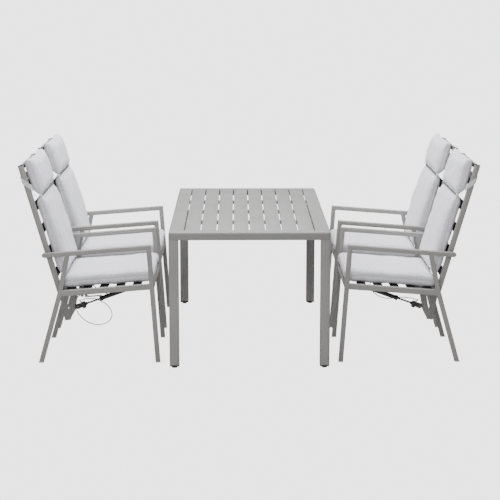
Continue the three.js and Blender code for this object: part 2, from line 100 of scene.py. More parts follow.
SEAT_PLACE = Matrix.Translation((0, 0, RAIL_Z)) @ Matrix.Rotation(-math.atan(SLOPE), 4, "Y")
BACK_PLACE = Matrix.Translation((HINGE.x, 0, HINGE.y)) @ Matrix.Rotation(-RECLINE, 4, "Y")
SPRING = SEAT_PLACE @ Vector((ANCHOR_X, 0, ANCHOR_Z)) - Vector((LUG.x, 0, LUG.y))
SPRING_LENGTH, SPRING_ANGLE = SPRING.length, math.atan2(SPRING.z, SPRING.x)
SPRING_PLACE = Matrix.Translation((LUG.x, 0, LUG.y)) @ Matrix.Rotation(-SPRING_ANGLE, 4, "Y")


def chair_place(chair):
    x, y, turn = CHAIR_PLACES[chair]
    return Matrix.Translation((x, y, 0)) @ Matrix.Rotation(turn, 4, "Z")


# ---- finishes ----


def add(tree, kind, inputs=None, **settings):
    made = tree.nodes.new(kind)
    for key, value in settings.items():
        setattr(made, key, value)
    for key, value in (inputs or {}).items():
        if isinstance(value, bpy.types.NodeSocket):
            tree.links.new(value, made.inputs[key])
        else:
            made.inputs[key].default_value = value
    return made


def math_node(tree, operation, a, b=0.0):
    return add(tree, "ShaderNodeMath", {0: a, 1: b}, operation=operation).outputs[0]


def effect(name, inputs, outputs):
    """An empty node group, with the sockets that it is given and those that it puts out."""
    group = bpy.data.node_groups.new(name, "ShaderNodeTree")
    for label, value in inputs.items():
        socket = group.interface.new_socket(label, in_out="INPUT", socket_type="NodeSocketFloat")
        socket.default_value = value
    for label in outputs:
        group.interface.new_socket(label, in_out="OUTPUT", socket_type="NodeSocketFloat")
    given = group.nodes.new("NodeGroupInput").outputs
    out = group.nodes.new("NodeGroupOutput").inputs
    return group, given, out


def make_grain():
    """Fine orange-peel height of a sprayed or moulded surface, and slow changes of tone."""
    group, given, out = effect("surface grain", {"Scale": 900.0}, ["Height", "Tone"])
    place = add(group, "ShaderNodeTexCoord").outputs["Object"]
    fine = add(group, "ShaderNodeTexNoise", {"Vector": place, "Scale": given["Scale"], "Detail": 2.0})
    broad = add(group, "ShaderNodeTexNoise", {"Vector": place, "Scale": 7.0, "Detail": 4.0})
    group.links.new(fine.outputs["Fac"], out["Height"])
    group.links.new(broad.outputs["Fac"], out["Tone"])
    return group


def make_weave():
    """Plain weave on the UV map in metres: its height, and the mixed tones of its yarns."""
    group, given, out = effect("woven yarns", {"Pitch": 0.002}, ["Height", "Yarn"])
    uv = add(group, "ShaderNodeTexCoord").outputs["UV"]
    axes = add(group, "ShaderNodeSeparateXYZ", {0: uv})
    turn = math_node(group, "DIVIDE", 2 * math.pi, given["Pitch"])
    across = math_node(group, "SINE", math_node(group, "MULTIPLY", axes.outputs[0], turn))
    along = math_node(group, "SINE", math_node(group, "MULTIPLY", axes.outputs[1], turn))
    crossing = math_node(group, "MULTIPLY", across, along)
    height = math_node(group, "MULTIPLY_ADD", crossing, 0.5)
    height.node.inputs[2].default_value = 0.5
    yarns = []
    for stretch in ((900.0, 110.0, 1.0), (110.0, 900.0, 1.0)):
        laid = add(group, "ShaderNodeMapping", {"Vector": uv, "Scale": stretch})
        yarns.append(
            add(group, "ShaderNodeTexNoise", {"Vector": laid.outputs[0], "Scale": 1.0, "Detail": 1.0})
        )
    weft = math_node(group, "GREATER_THAN", crossing, 0.0)
    mixed = add(group, "ShaderNodeMix", {0: weft, 2: yarns[0].outputs["Fac"], 3: yarns[1].outputs["Fac"]})
    cloudy = add(group, "ShaderNodeTexNoise", {"Vector": uv, "Scale": 85.0, "Detail": 4.0})
    yarn_share = 0.62  # of the tone; the rest is cloudy
    yarn = math_node(group, "MULTIPLY", mixed.outputs[0], yarn_share)
    clouds = math_node(group, "MULTIPLY", cloudy.outputs["Fac"], 1 - yarn_share)
    total = math_node(group, "ADD", yarn, clouds)
    group.links.new(height, out["Height"])
    group.links.new(total, out["Yarn"])
    return group


GRAIN = make_grain()
WEAVE = make_weave()


def new_finish(name, plain):
    made = bpy.data.materials.new(name)
    made.use_nodes = True
    shader = made.node_tree.nodes["Principled BSDF"]
    for key, value in plain.items():
        shader.inputs[key].default_value = value
    made.diffuse_color = plain.get("Base Color", (0.5, 0.5, 0.5, 1))
    return made, made.node_tree, shader


def two_tones(tree, factor, dark, light, low=0.3, high=0.7):
    limits = {"Value": factor, "From Min": low, "From Max": high}
    spread = add(tree, "ShaderNodeMapRange", limits)
    tone = add(tree, "ShaderNodeMix", {"Factor": spread.outputs[0]}, data_type="RGBA")
    tone.inputs[6].default_value = (*dark, 1)
    tone.inputs[7].default_value = (*light, 1)
    return tone.outputs[2]


def coated(name, dark, light, roughness, scale=900.0, bump=0.15, plain=None):
    """A sprayed, painted or moulded finish."""
    values = {"Roughness": roughness, "Base Color": (*light, 1)}
    values.update(plain or {})
    made, tree, shader = new_finish(name, values)
    grain = add(tree, "ShaderNodeGroup", node_tree=GRAIN)
    grain.inputs["Scale"].default_value = scale
    tree.links.new(two_tones(tree, grain.outputs["Tone"], dark, light), shader.inputs["Base Color"])
    rough = add(
        tree,
        "ShaderNodeMapRange",
        {
            "Value": grain.outputs["Tone"],
            "From Min": 0.25,
            "From Max": 0.75,
            "To Min": roughness - 0.05,
            "To Max": roughness + 0.05,
        },
    )
    tree.links.new(rough.outputs[0], shader.inputs["Roughness"])
    raised = add(
        tree,
        "ShaderNodeBump",
        {"Height": grain.outputs["Height"], "Strength": bump, "Distance": 0.0004},
    )
    tree.links.new(raised.outputs[0], shader.inputs["Normal"])
    return made


def woven(name, dark, light, pitch, bump=0.5, plain=None):
    """A woven cloth, band or strap."""
    values = {"Roughness": 0.9, "Base Color": (*light, 1)}
    values.update(plain or {})
    made, tree, shader = new_finish(name, values)
    weave = add(tree, "ShaderNodeGroup", node_tree=WEAVE)
    weave.inputs["Pitch"].default_value = pitch
    tree.links.new(
        two_tones(tree, weave.outputs["Yarn"], dark, light, 0.32, 0.68), shader.inputs["Base Color"]
    )
    raised = add(
        tree,
        "ShaderNodeBump",
        {"Height": weave.outputs["Height"], "Strength": bump, "Distance": 0.0005},
    )
    tree.links.new(raised.outputs[0], shader.inputs["Normal"])
    return made


FRAME_COAT = coated("grey powder coat", (0.218, 0.213, 0.204), (0.242, 0.236, 0.226), 0.46)
# The frame's own powder coat made darker: painted shade on the table's rim, apron and boards.
TOP_COAT_WITH_PAINTED_SHADE = coated("table top powder coat with painted shade", (0.178, 0.174, 0.172), (0.199, 0.194, 0.192), 0.50)
CUSHION_CLOTH = woven(
    "pale grey melange cloth",
    (0.47, 0.47, 0.51),
    (0.76, 0.76, 0.80),
    0.0021,
    plain={"Sheen Weight": 0.25, "Sheen Roughness": 0.6},
)
# Far darker than the pad cloth: painted shade in the valley where the sewn neck sits between the back and
# head pads.
SEAM_CLOTH_PAINTED_SHADE = woven("sewn seam with painted shade", (0.10, 0.10, 0.108), (0.19, 0.19, 0.20), 0.0016)
BAND_CLOTH = woven("pale grey band", (0.52, 0.52, 0.54), (0.68, 0.68, 0.70), 0.0014)
STRAP_CLOTH = woven("black elastic strap", (0.006, 0.006, 0.007), (0.018, 0.018, 0.020), 0.0018, bump=0.7)
SPRING_PAINT = coated("gloss black paint", (0.008, 0.008, 0.009), (0.014, 0.014, 0.015), 0.22, 500, 0.05)
BLACK_OXIDE = coated("black oxide steel", (0.012, 0.012, 0.012), (0.03, 0.03, 0.03), 0.38, 1500, 0.1)
FOOT_NYLON = coated("black nylon", (0.008, 0.008, 0.009), (0.016, 0.016, 0.017), 0.5, 1400, 0.2)
GLIDE_NYLON = coated(
    "clear grey nylon", (0.52, 0.51, 0.50), (0.60, 0.59, 0.58), 0.35, 700, 0.1,
    {"Subsurface Weight": 0.15},
)
CABLE_SHEATH = coated("black cable sheath", (0.012, 0.012, 0.013), (0.024, 0.024, 0.026), 0.4, 900, 0.1)


# ---- making shapes ----


def placed(name, data):
    """A new object in the scene, at the origin."""
    made = bpy.data.objects.new(name, data)
    bpy.context.scene.collection.objects.link(made)
    return made


CRISP = 32.0  # degrees past which an edge is left sharp


def finished(bm, sharp=CRISP):
    """The mesh of a bmesh, welded, facing out, with soft curves and crisp corners."""
    bmesh.ops.remove_doubles(bm, verts=bm.verts, dist=1e-6)
    bmesh.ops.recalc_face_normals(bm, faces=bm.faces)
    mesh = bpy.data.meshes.new("shape")
    bm.to_mesh(mesh)
    bm.free()
    mesh.shade_smooth()
    mesh.set_sharp_from_angle(angle=math.radians(sharp))
    return mesh


def loft(bm, rings, caps=True):
    """A skin through rings of the same number of points, in order."""
    verts = [bm.verts.new(p) for p in rings[0]]
    order = {v: i for i, v in enumerate(verts)}
    edges = [bm.edges.new((verts[i - 1], verts[i])) for i in range(len(verts))]
    first = list(edges)
    for ring in rings[1:]:
        grown = bmesh.ops.extrude_edge_only(bm, edges=edges)["geom"]
        fresh = {}
        for v in grown:
            if isinstance(v, bmesh.types.BMVert):
                old = next(e.other_vert(v) for e in v.link_edges if e.other_vert(v) in order)
                fresh[v] = order[old]
        for v, i in fresh.items():
            v.co = ring[i]
        edges = [
            e
            for e in grown
            if isinstance(e, bmesh.types.BMEdge) and e.verts[0] in fresh and e.verts[1] in fresh
        ]
        order = fresh
    if caps:
        bmesh.ops.contextual_create(bm, geom=first)
        bmesh.ops.contextual_create(bm, geom=edges)
    return bm


def rounded_section(depth, width, radius, steps=4):
    """Points round a rectangle with rounded corners, as (share of depth, place across)."""
    points = []
    for cx, cy, start in ((1, 1, 0), (-1, 1, 90), (-1, -1, 180), (1, -1, 270)):
        for k in range(steps + 1):
            angle = math.radians(start + 90 * k / steps)
            a = cx * (depth / 2 - radius) + radius * math.cos(angle)
            b = cy * (width / 2 - radius) + radius * math.sin(angle)
            points.append((a, b))
    return points


def tube(bm, path, depth, across, radius=0.0055, level=False):
    """A tube of rounded rectangular section along (x, z) points, mitred at its bends."""
    low, high = across
    section = rounded_section(depth, high - low, radius)
    middle = (low + high) / 2
    rings = []
    for i, point in enumerate(path):
        point = Vector(point)
        before = (point - Vector(path[i - 1])).normalized() if i else None
        after = (Vector(path[i + 1]) - point).normalized() if i < len(path) - 1 else None
        heading = ((before or after) + (after or before)).normalized()
        side = Vector((-heading.y, heading.x)) / heading.dot(after or before)
        if level and i == 0:
            side = Vector((-1 / heading.y, 0))
        rings.append(
            [(point.x + a * side.x, middle + b, point.y + a * side.y) for a, b in section]
        )
    return loft(bm, rings)


def block(bm, low, high, radius=0.0, segments=2):
    """A box between two corners with its edges rounded."""
    low, high = Vector(low), Vector(high)
    place = Matrix.Translation((low + high) / 2) @ Matrix.Diagonal((*(high - low), 1))
    made = bmesh.ops.create_cube(bm, size=1, matrix=place)["verts"]
    if radius:
        edges = list({e for v in made for e in v.link_edges})
        bmesh.ops.bevel(
            bm, geom=edges, offset=radius, segments=segments, profile=0.5, affect="EDGES", material=-1
        )
    return bm


def plate(bm, outline, across, radius=0.0):
    """An outline in the side view, with thickness across, and its edges eased."""
    low, high = across
    verts = [bm.verts.new((x, low, z)) for x, z in outline]
    face = bm.faces.new(verts)
    grown = bmesh.ops.extrude_face_region(bm, geom=[face])["geom"]
    moved = [v for v in grown if isinstance(v, bmesh.types.BMVert)]
    bmesh.ops.translate(bm, verts=moved, vec=(0, high - low, 0))
    if radius:
        edges = list({e for v in verts + moved for e in v.link_edges})
        bmesh.ops.bevel(
            bm, geom=edges, offset=radius, segments=2, profile=0.5, affect="EDGES", material=-1
        )
    return bm


def turned(bm, profile, steps=32):
    """Turns (place along X, radius) points round the X axis."""
    verts = [bm.verts.new((x, 0, r)) for x, r in profile]
    edges = [bm.edges.new(pair) for pair in zip(verts, verts[1:])]
    round_x = {"cent": (0, 0, 0), "axis": (1, 0, 0), "angle": 2 * math.pi}
    bmesh.ops.spin(bm, geom=verts + edges, steps=steps, use_merge=True, **round_x)
    return bm


def pin_across(bm, place, radius, across, steps=28, ease=0.0008):
    """A round pin along Y with eased rims, at (x, z)."""
    low, high = across
    lower = len(bm.verts)
    profile = [(low, 0), (low, radius - ease), (low + ease, radius), (high - ease, radius)]
    profile += [(high, radius - ease), (high, 0)]
    turned(bm, profile, steps)
    bm.verts.ensure_lookup_table()
    turn = Matrix.Translation((place[0], 0, place[1])) @ Matrix.Rotation(math.radians(90), 4, "Z")
    bmesh.ops.transform(bm, matrix=turn, verts=bm.verts[lower:])
    return bm


def shape(make, *sizes, **more):
    """The finished mesh of one block, plate, tube, pin or other form."""
    bm = bmesh.new()
    make(bm, *sizes, **more)
    return finished(bm)


def welded(mesh):
    """The skin that a union or a bore leaves, with its hair-fine seams closed."""
    bm = bmesh.new()
    bm.from_mesh(mesh)
    bmesh.ops.remove_doubles(bm, verts=bm.verts, dist=2e-5)
    bmesh.ops.dissolve_degenerate(bm, edges=bm.edges, dist=2e-5)
    bmesh.ops.triangulate(bm, faces=bm.faces)
    bm.to_mesh(mesh)
    bm.free()
    mesh.shade_smooth()
    mesh.set_sharp_from_angle(angle=math.radians(CRISP))
    return mesh


def baked(obj):
    """The mesh of an object with its modifiers applied, which the object then has."""
    bpy.context.view_layer.update()
    graph = bpy.context.evaluated_depsgraph_get()
    mesh = bpy.data.meshes.new_from_object(obj.evaluated_get(graph))
    obj.modifiers.clear()
    obj.data = mesh
    return mesh


def combined(meshes, operation):
    """The first shape with the others joined to it or cut out of it, as one closed skin."""
    first, *others = [placed("solid", mesh) for mesh in meshes]
    for other in others:
        step = first.modifiers.new("step", "BOOLEAN")
        step.operation, step.solver, step.object = operation, "EXACT", other
    result = baked(first)
    for obj in (first, *others):
        bpy.data.objects.remove(obj)
    return welded(result)


def fused(meshes):
    return combined(meshes, "UNION")


def bored(mesh, drill):
    return combined([mesh, drill], "DIFFERENCE")


def triples(items, what):
    """The places or normals of a mesh's points or faces, in rows."""
    found = np.zeros(len(items) * 3)
    items.foreach_get(what, found)
    return found.reshape(-1, 3)


def places(mesh):
    return triples(mesh.vertices, "co")


def facings(mesh):
    return triples(mesh.vertices, "normal")


def cloth_uv(mesh):
    """A UV map in metres. Each face is laid out along the two axes that it faces least."""
    layer = mesh.uv_layers.new(name="weave")
    corner_vertex = np.zeros(len(mesh.loops), np.int32)
    mesh.loops.foreach_get("vertex_index", corner_vertex)
    place = places(mesh)[corner_vertex]
    count = np.zeros(len(mesh.polygons), np.int32)
    mesh.polygons.foreach_get("loop_total", count)
    facing = np.repeat(np.abs(triples(mesh.polygons, "normal")).argmax(1), count)
    u = np.where(facing == 1, place[:, 0], place[:, 1])
    v = np.where(facing == 2, place[:, 0], place[:, 2])
    laid = np.stack([u, v], 1)
    layer.data.foreach_set("uv", laid.astype(np.float32).ravel())
    return mesh


def show(name, mesh, finish, body):
    mesh.materials.clear()
    mesh.materials.append(finish)
    mesh.name = name
    made = placed(name, mesh)
    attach(made, body)
    return made


def on_every_chair(name, mesh, finish, body, local=None, replaces=(), chairs=CHAIR_PLACES):
    """Copies a chair's piece to each chair, to ride on that chair's body."""
    made = []
    for chair in chairs:
        copy = mesh.copy()
        copy.transform(chair_place(chair) @ (local or Matrix.Identity(4)))
        piece = show(f"{chair}_{name}", copy, finish, f"{chair}_{body}")
        if replaces:
            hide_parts(*[f"{chair}_{node}" for node in replaces])
        made.append(piece)
    return made


# ---- table ----


def table_rim(bm):
    """The rails round the top with their apron, in one section swept round four corners."""
    round_over = 0.013
    under, inside = TABLE_Z - APRON, TABLE_Z - 0.012
    wall, ease = 0.026, 0.0008
    section = [(0.0012, 0.0012, under), (0, 0, under + 0.0012)]
    for k in range(7):
        angle = math.radians(90 * k / 6)
        inset = round_over * (1 - math.cos(angle))
        section.append((inset, inset, TABLE_Z - round_over * (1 - math.sin(angle))))
    section += [(SIDE_RAIL - ease, END_RAIL - ease, TABLE_Z), (SIDE_RAIL, END_RAIL, TABLE_Z - ease)]
    section += [(SIDE_RAIL, END_RAIL, inside), (wall, wall, inside), (wall, wall, under + 0.0012)]
    section += [(0.0248, 0.0248, under)]
    rings = []
    for sx, sy, start in ((1, 1, 0), (-1, 1, 90), (-1, -1, 180), (1, -1, 270)):
        for k in range(6):
            angle = math.radians(start + 90 * k / 5)
            ring = []
            for dx, dy, z in section:
                if dx < CORNER:
                    reach = CORNER - dx
                    x = sx * (TABLE_X / 2 - CORNER) + reach * math.cos(angle)
                    y = sy * (TABLE_Y / 2 - CORNER) + reach * math.sin(angle)
                else:
                    x, y = sx * (TABLE_X / 2 - dx), sy * (TABLE_Y / 2 - dy)
                ring.append((x, y, z))
            rings.append(ring)
    return loft(bm, [*rings, rings[0]], caps=False)


def table_post(bm, sx, sy, low, high, inset=0.0):
    """A leg's square section with a well-rounded outer corner."""
    half = LEG / 2 - inset
    cx, cy = sx * (TABLE_X / 2 - LEG / 2), sy * (TABLE_Y / 2 - LEG / 2)
    outline = []
    for qx, qy, start in ((1, 1, 0), (-1, 1, 90), (-1, -1, 180), (1, -1, 270)):
        radius = CORNER if (qx, qy) == (sx, sy) else 0.004
        for k in range(6):
            angle = math.radians(start + 90 * k / 5)
            x = cx + qx * (half - radius) + radius * math.cos(angle)
            y = cy + qy * (half - radius) + radius * math.sin(angle)
            outline.append((x, y))
    rings = [[(x, y, z) for x, y in outline] for z in (low, high)]
    return loft(bm, rings)


def make_table():
    shapes = [shape(table_rim)]
    for sx in (-1, 1):
        for sy in (-1, 1):
            shapes.append(shape(table_post, sx, sy, TABLE_Z - APRON, TABLE_Z - 0.0135, inset=0.0006))
    # The rim and its apron take the darker coat, which is painted shade.
    top = show("table_rim", fused(shapes), TOP_COAT_WITH_PAINTED_SHADE, "table")
    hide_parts("table_top_frame")

    slats = bmesh.new()
    count, slot = 8, 0.0066
    width = (TABLE_X - 2 * SIDE_RAIL - (count + 1) * slot) / count
    half = TABLE_Y / 2 - END_RAIL - 0.0003
    for i in range(count):
        x = (i - (count - 1) / 2) * (width + slot)
        block(slats, (x - width / 2, -half, TABLE_Z - 0.013), (x + width / 2, half, TABLE_Z), 0.0010)
    bars = bmesh.new()
    reach = TABLE_X / 2 - 0.0263
    low, high = TABLE_Z - 0.0333, TABLE_Z - 0.0123
    for y in (-0.36, 0.0, 0.36):
        block(bars, (-reach, y - 0.0125, low), (reach, y + 0.0125, high), 0.0015)
    # The boards take the same darker coat, which is painted shade.
    boards = show("table_boards", finished(slats), TOP_COAT_WITH_PAINTED_SHADE, "table")
    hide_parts("table_slats")
    show("table_crossbars", finished(bars), FRAME_COAT, "table")

    for sx, sideways in ((-1, "left"), (1, "right")):
        for sy, along in ((-1, "near"), (1, "far")):
            place = f"{sideways}_{along}"
            post = shape(table_post, sx, sy, 0.0173, TABLE_Z - 0.0443)
            leg = show(f"table_post_{place}", post, FRAME_COAT, "table")
            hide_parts(f"table_leg_{place}")
            foot = bmesh.new()
            table_post(foot, sx, sy, 0.0100, 0.0171, inset=0.0004)
            cx, cy = sx * (TABLE_X / 2 - LEG / 2), sy * (TABLE_Y / 2 - LEG / 2)
            pad = [(0, 0), (0, 0.0135), (0.0015, 0.015), (0.0065, 0.015)]
            pad += [(0.0085, 0.011), (0.0101, 0.011), (0.0101, 0)]
            lower = len(foot.verts)
            turned(foot, pad, 32)
            foot.verts.ensure_lookup_table()
            stand = Matrix.Translation((cx, cy, 0)) @ Matrix.Rotation(math.radians(-90), 4, "Y")
            bmesh.ops.transform(foot, matrix=stand, verts=foot.verts[lower:])
            cap = show(f"table_cap_{place}", finished(foot), FOOT_NYLON, "table")
            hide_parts(f"table_foot_{place}")


# ---- chair frames ----


def front_corner():
    """Where the middle lines of a front leg and an armrest meet, as (x, z)."""
    x = (FRONT_FOOT - FRONT_LEAN * ARM_Z) / (1 + FRONT_LEAN * SLOPE)
    return (x, ARM_Z + SLOPE * x)


def side_frame(side):
    """Front leg and armrest in one bent run, rear leg and seat rail, with the hinge's stud."""
    across = (INNER, OUTER) if side > 0 else (-OUTER, -INNER)
    lift = 0.006  # the tubes stand on glides
    front_foot = (FRONT_FOOT - FRONT_LEAN * lift, lift)
    rear_foot = (REAR_FOOT + REAR_LEAN * lift, lift)
    rear_top = (-0.160, ARM_Z - 0.160 * SLOPE - 0.004)  # inside the armrest
    tip = (ARM_END, ARM_Z + ARM_END * SLOPE)
    rail_end = FRONT_FOOT - FRONT_LEAN * RAIL_Z
    runs = [
        ([front_foot, front_corner(), tip], 0.026, True),
        ([rear_foot, tuple(HINGE), rear_top], 0.026, True),
        ([tuple(HINGE), (rail_end, RAIL_Z + rail_end * SLOPE)], 0.032, False),
    ]
    shapes = [shape(tube, path, depth, across, level=level) for path, depth, level in runs]
    shapes.append(shape(pin_across, tip, 0.013, across, steps=32, ease=0.005))
    stud = (INNER - 0.023, INNER + 0.01) if side > 0 else (-INNER - 0.01, -INNER + 0.023)
    shapes.append(shape(pin_across, HINGE, 0.006, stud))
    if side < 0:
        shapes += lever_mount()
    return fused(shapes)


def lever_mount():
    """The lever's bracket and pin under the right seat rail, and the cable's stop."""
    middle = -(INNER + OUTER) / 2
    under = LEVER_PIVOT.y + 0.008
    low = (LEVER_PIVOT.x - 0.007, middle - 0.002, LEVER_PIVOT.y - 0.005)
    high = (LEVER_PIVOT.x + 0.007, middle + 0.002, under + 0.002)
    shapes = [shape(block, low, high, 0.0006)]
    shapes.append(shape(pin_across, LEVER_PIVOT, 0.003, (-OUTER + 0.0025, -INNER - 0.0025), steps=20))
    low = (-0.094, -INNER - 0.008, LEVER_PIVOT.y - 0.007)
    high = (-0.080, -INNER + 0.017, under + 0.001)
    shapes.append(shape(block, low, high, 0.0015))
    return shapes


def glides(side):
    """Nylon ends that the legs stand on."""
    bm = bmesh.new()
    y0, y1 = (INNER, OUTER) if side > 0 else (-OUTER, -INNER)
    for x, half in ((FRONT_FOOT, 0.0132), (REAR_FOOT + 0.0005, 0.0137)):
        lean = 0.0005 if x > 0 else 0.0009
        block(bm, (x - half - lean, y0 - 0.0004, 0.0), (x + half, y1 + 0.0004, 0.0058), 0.0018, 3)
    return finished(bm)


def seat_ladder():
    """Side bars with three crossbars, and the cheeks and pin of the spring's anchor."""
    inner = LADDER - 0.020
    bm = bmesh.new()
    block(bm, (0.278, -LADDER, -0.016), (0.302, LADDER, 0.016), 0.005, 3)
    for x in (-0.102, ANCHOR_X):
        block(bm, (x - 0.010, -inner - 0.004, -0.012), (x + 0.010, inner + 0.004, 0.011), 0.004, 3)
    shapes = [finished(bm)]
    for side in (-1, 1):
        y0, y1 = sorted((side * inner, side * LADDER))
        shapes.append(shape(block, (-0.180, y0, -0.012), (0.282, y1, 0.011), 0.004, 3))
    for side in (-1, 1):
        y = tuple(sorted((side * 0.006, side * 0.010)))
        outline = [(ANCHOR_X - 0.010, -0.008), (ANCHOR_X - 0.010, ANCHOR_Z)]
        for k in range(9):
            angle = math.radians(180 + 180 * k / 8)
            outline.append((ANCHOR_X + 0.010 * math.cos(angle), ANCHOR_Z + 0.010 * math.sin(angle)))
        outline.append((ANCHOR_X + 0.010, -0.008))
        shapes.append(shape(plate, outline, y, 0.0006))
    shapes.append(shape(pin_across, (ANCHOR_X, ANCHOR_Z), 0.004, (-0.010, 0.010)))
    return fused(shapes)


def on_back(x, z):
    """A place in the chair's side view as (forward of the back, up along it)."""
    dx, dz = x - HINGE.x, z - HINGE.y
    cos, sin = math.cos(RECLINE), math.sin(RECLINE)
    return (dx * cos + dz * sin, -dx * sin + dz * cos)


def back_ladder():
    """Side rails, top tube and hinge tube, with the V-shaped bracket under the hinge."""
    outer, inner = BACK_HALF, BACK_HALF - BACK_RAIL
    shapes = []
    for side in (-1, 1):
        y0, y1 = sorted((side * inner, side * outer))
        shapes.append(shape(block, (-0.015, y0, -0.016), (0.015, y1, 0.716), 0.0055, 3))
    shapes.append(shape(block, (-0.011, -inner - 0.006, 0.694), (0.011, inner + 0.006, 0.716), 0.005, 3))
    shapes.append(shape(pin_across, (0, 0), 0.013, (-inner - 0.002, inner + 0.002), steps=36))
    half = 0.006
    outlines = [
        [(-0.2498, 0.354), (-0.2182, 0.350), (-0.1806, 0.172), (-0.2142, 0.168)],
        [(-0.200, 0.192), (-0.183, 0.1755), (-0.157, 0.224), (-0.134, 0.345), (-0.168, 0.352)],
        [(-0.251, 0.348), (-0.217, 0.340), (-0.168, 0.340),
         (-0.134, 0.345), (-0.190, 0.395), (-0.222, 0.395)],
    ]
    for outline in outlines:
        shapes.append(shape(plate, [on_back(x, z) for x, z in outline], (-half, half), 0.0015))
    lug = on_back(LUG.x, LUG.y)
    shapes.append(shape(pin_across, lug, 0.012, (-half, half), steps=32))
    neck = on_back(LUG.x - 0.026, LUG.y)
    shapes.append(shape(tube, [neck, lug], 0.020, (-half, half), 0.001))
    shapes.append(shape(pin_across, lug, 0.004, (-0.013, 0.013)))
    return fused(shapes)


def rail_caps():
    """Flat black caps closing the tops of the back's rails."""
    bm = bmesh.new()
    outer, inner = BACK_HALF, BACK_HALF - BACK_RAIL
    for side in (-1, 1):
        y0, y1 = sorted((side * (inner + 0.001), side * (outer - 0.001)))
        block(bm, (-0.014, y0, 0.7145), (0.014, y1, 0.7185), 0.0012)
    return finished(bm)


# ---- straps ----


def strap(bm, along, across, height, sag):
    """A flat elastic strap from side to side with doubled ends."""
    thickness = 0.0016
    x0, x1 = along
    steps = 24
    rings = []
    for k in range(steps + 1):
        share = k / steps
        y = across * (2 * share - 1)
        z = height - sag * 4 * share * (1 - share)
        rings.append([(x0, y, z), (x1, y, z), (x1, y, z + thickness), (x0, y, z + thickness)])
    loft(bm, rings)
    for side in (-1, 1):
        y0, y1 = sorted((side * (across - 0.022), side * across))
        for low, high in ((height + 0.0012, height + 0.0026), (height - 0.0008, height + 0.0004)):
            block(bm, (x0 + 0.0005, y0, low), (x1 - 0.0005, y1, high), 0.0004, 1)
    return bm


def seat_strap_set():
    bm = bmesh.new()
    for x in SEAT_STRAPS:
        # the rear one is taut, to clear the back's bracket at full recline
        sag = 0.0 if x == SEAT_STRAPS[-1] else 0.004
        strap(bm, (x - STRAP / 2, x + STRAP / 2), LADDER, 0.0122, sag)
    return cloth_uv(finished(bm))


def back_strap_set():
    bm = bmesh.new()
    across = BACK_HALF - BACK_RAIL - 0.0003
    for u in BACK_STRAPS:
        strap(bm, (u - STRAP / 2, u + STRAP / 2), across, -0.0138, 0.0)
    # The top strip is a strap wrapped over the front of the top tube, and its black there is also painted
    # shade of the tube.
    strap(bm, (0.696, 0.716), across, -0.0138, 0.0)
    upright = Matrix.Rotation(math.radians(-90), 3, "Y")
    bmesh.ops.rotate(bm, verts=bm.verts, cent=(0, 0, 0), matrix=upright)
    return cloth_uv(finished(bm))


# ---- gas spring, lever and cable ----


def spring_cylinder():
    """The spring's body with its mouth towards the rod, a boss and the eye of its front pin."""
    mouth, end = 0.130, SPRING_LENGTH - 0.021
    bm = bmesh.new()
    profile = [
        (end, 0), (end, 0.010), (end - 0.002, 0.0118), (mouth + 0.030, 0.012),
        (mouth + 0.018, 0.012), (mouth + 0.0175, 0.0112), (mouth + 0.0165, 0.0112),
        (mouth + 0.016, 0.014), (mouth + 0.003, 0.014), (mouth, 0.0125), (mouth, 0.0058),
        (mouth + 0.014, 0.0058), (mouth + 0.016, 0.010), (end - 0.012, 0.010), (end - 0.012, 0),
    ]
    turned(bm, profile, 40)
    shapes = [finished(bm)]
    boss_end = SPRING_LENGTH - 0.006
    boss = [(end - 0.001, 0), (end - 0.001, 0.006), (boss_end, 0.005), (boss_end, 0)]
    shapes.append(shape(turned, boss, 28))
    ring = bmesh.new()
    rim = [
        (-0.005, 0.0043), (-0.005, 0.0092), (-0.004, 0.010), (0.004, 0.010),
        (0.005, 0.0092), (0.005, 0.0043), (-0.005, 0.0043),
    ]
    turned(ring, rim, 32)
    place = Matrix.Translation((SPRING_LENGTH, 0, 0)) @ Matrix.Rotation(math.radians(90), 4, "Z")
    bmesh.ops.transform(ring, matrix=place, verts=ring.verts)
    shapes.append(finished(ring))
    return fused(shapes)


def fork_side(low, high):
    """One cheek of the fork: a plate round a loose eye."""
    outline = []
    for k in range(33):
        angle = math.radians(90 + 180 * k / 32)
        outline.append((0.014 * math.cos(angle), 0.014 * math.sin(angle)))
    outline += [(0.014, -0.012), (0.026, -0.012), (0.026, 0.012), (0.014, 0.012)]
    cheek = shape(plate, outline, (low, high), 0.0006)
    drill = shape(pin_across, (0, 0), 0.0084, (low - 0.002, high + 0.002), steps=32)
    return bored(cheek, drill)


def spring_rod():
    """Release head with its fork, lock nut and the rod that runs into the cylinder."""
    shapes = [fork_side(-0.012, -0.007), fork_side(0.007, 0.012)]
    shapes.append(shape(block, (0.0205, -0.0120, -0.014), (0.046, 0.0120, 0.015), 0.0030, 3))
    shapes.append(shape(block, (0.023, -0.009, -0.0215), (0.043, 0.009, -0.012), 0.0035, 3))
    tab = [(0.024, 0.012), (0.031, 0.012), (0.023, 0.033), (0.017, 0.031)]
    shapes.append(shape(plate, tab, (-0.003, 0.003), 0.0008))
    nut = [(0.045, 0), (0.045, 0.0085), (0.046, 0.009), (0.054, 0.009), (0.055, 0.0085), (0.055, 0)]
    shapes.append(shape(turned, nut, 6))
    rod = [(0.044, 0), (0.044, 0.005), (0.158, 0.005), (0.158, 0.0094), (0.170, 0.0094), (0.170, 0)]
    shapes.append(shape(turned, rod, 28))
    return fused(shapes)


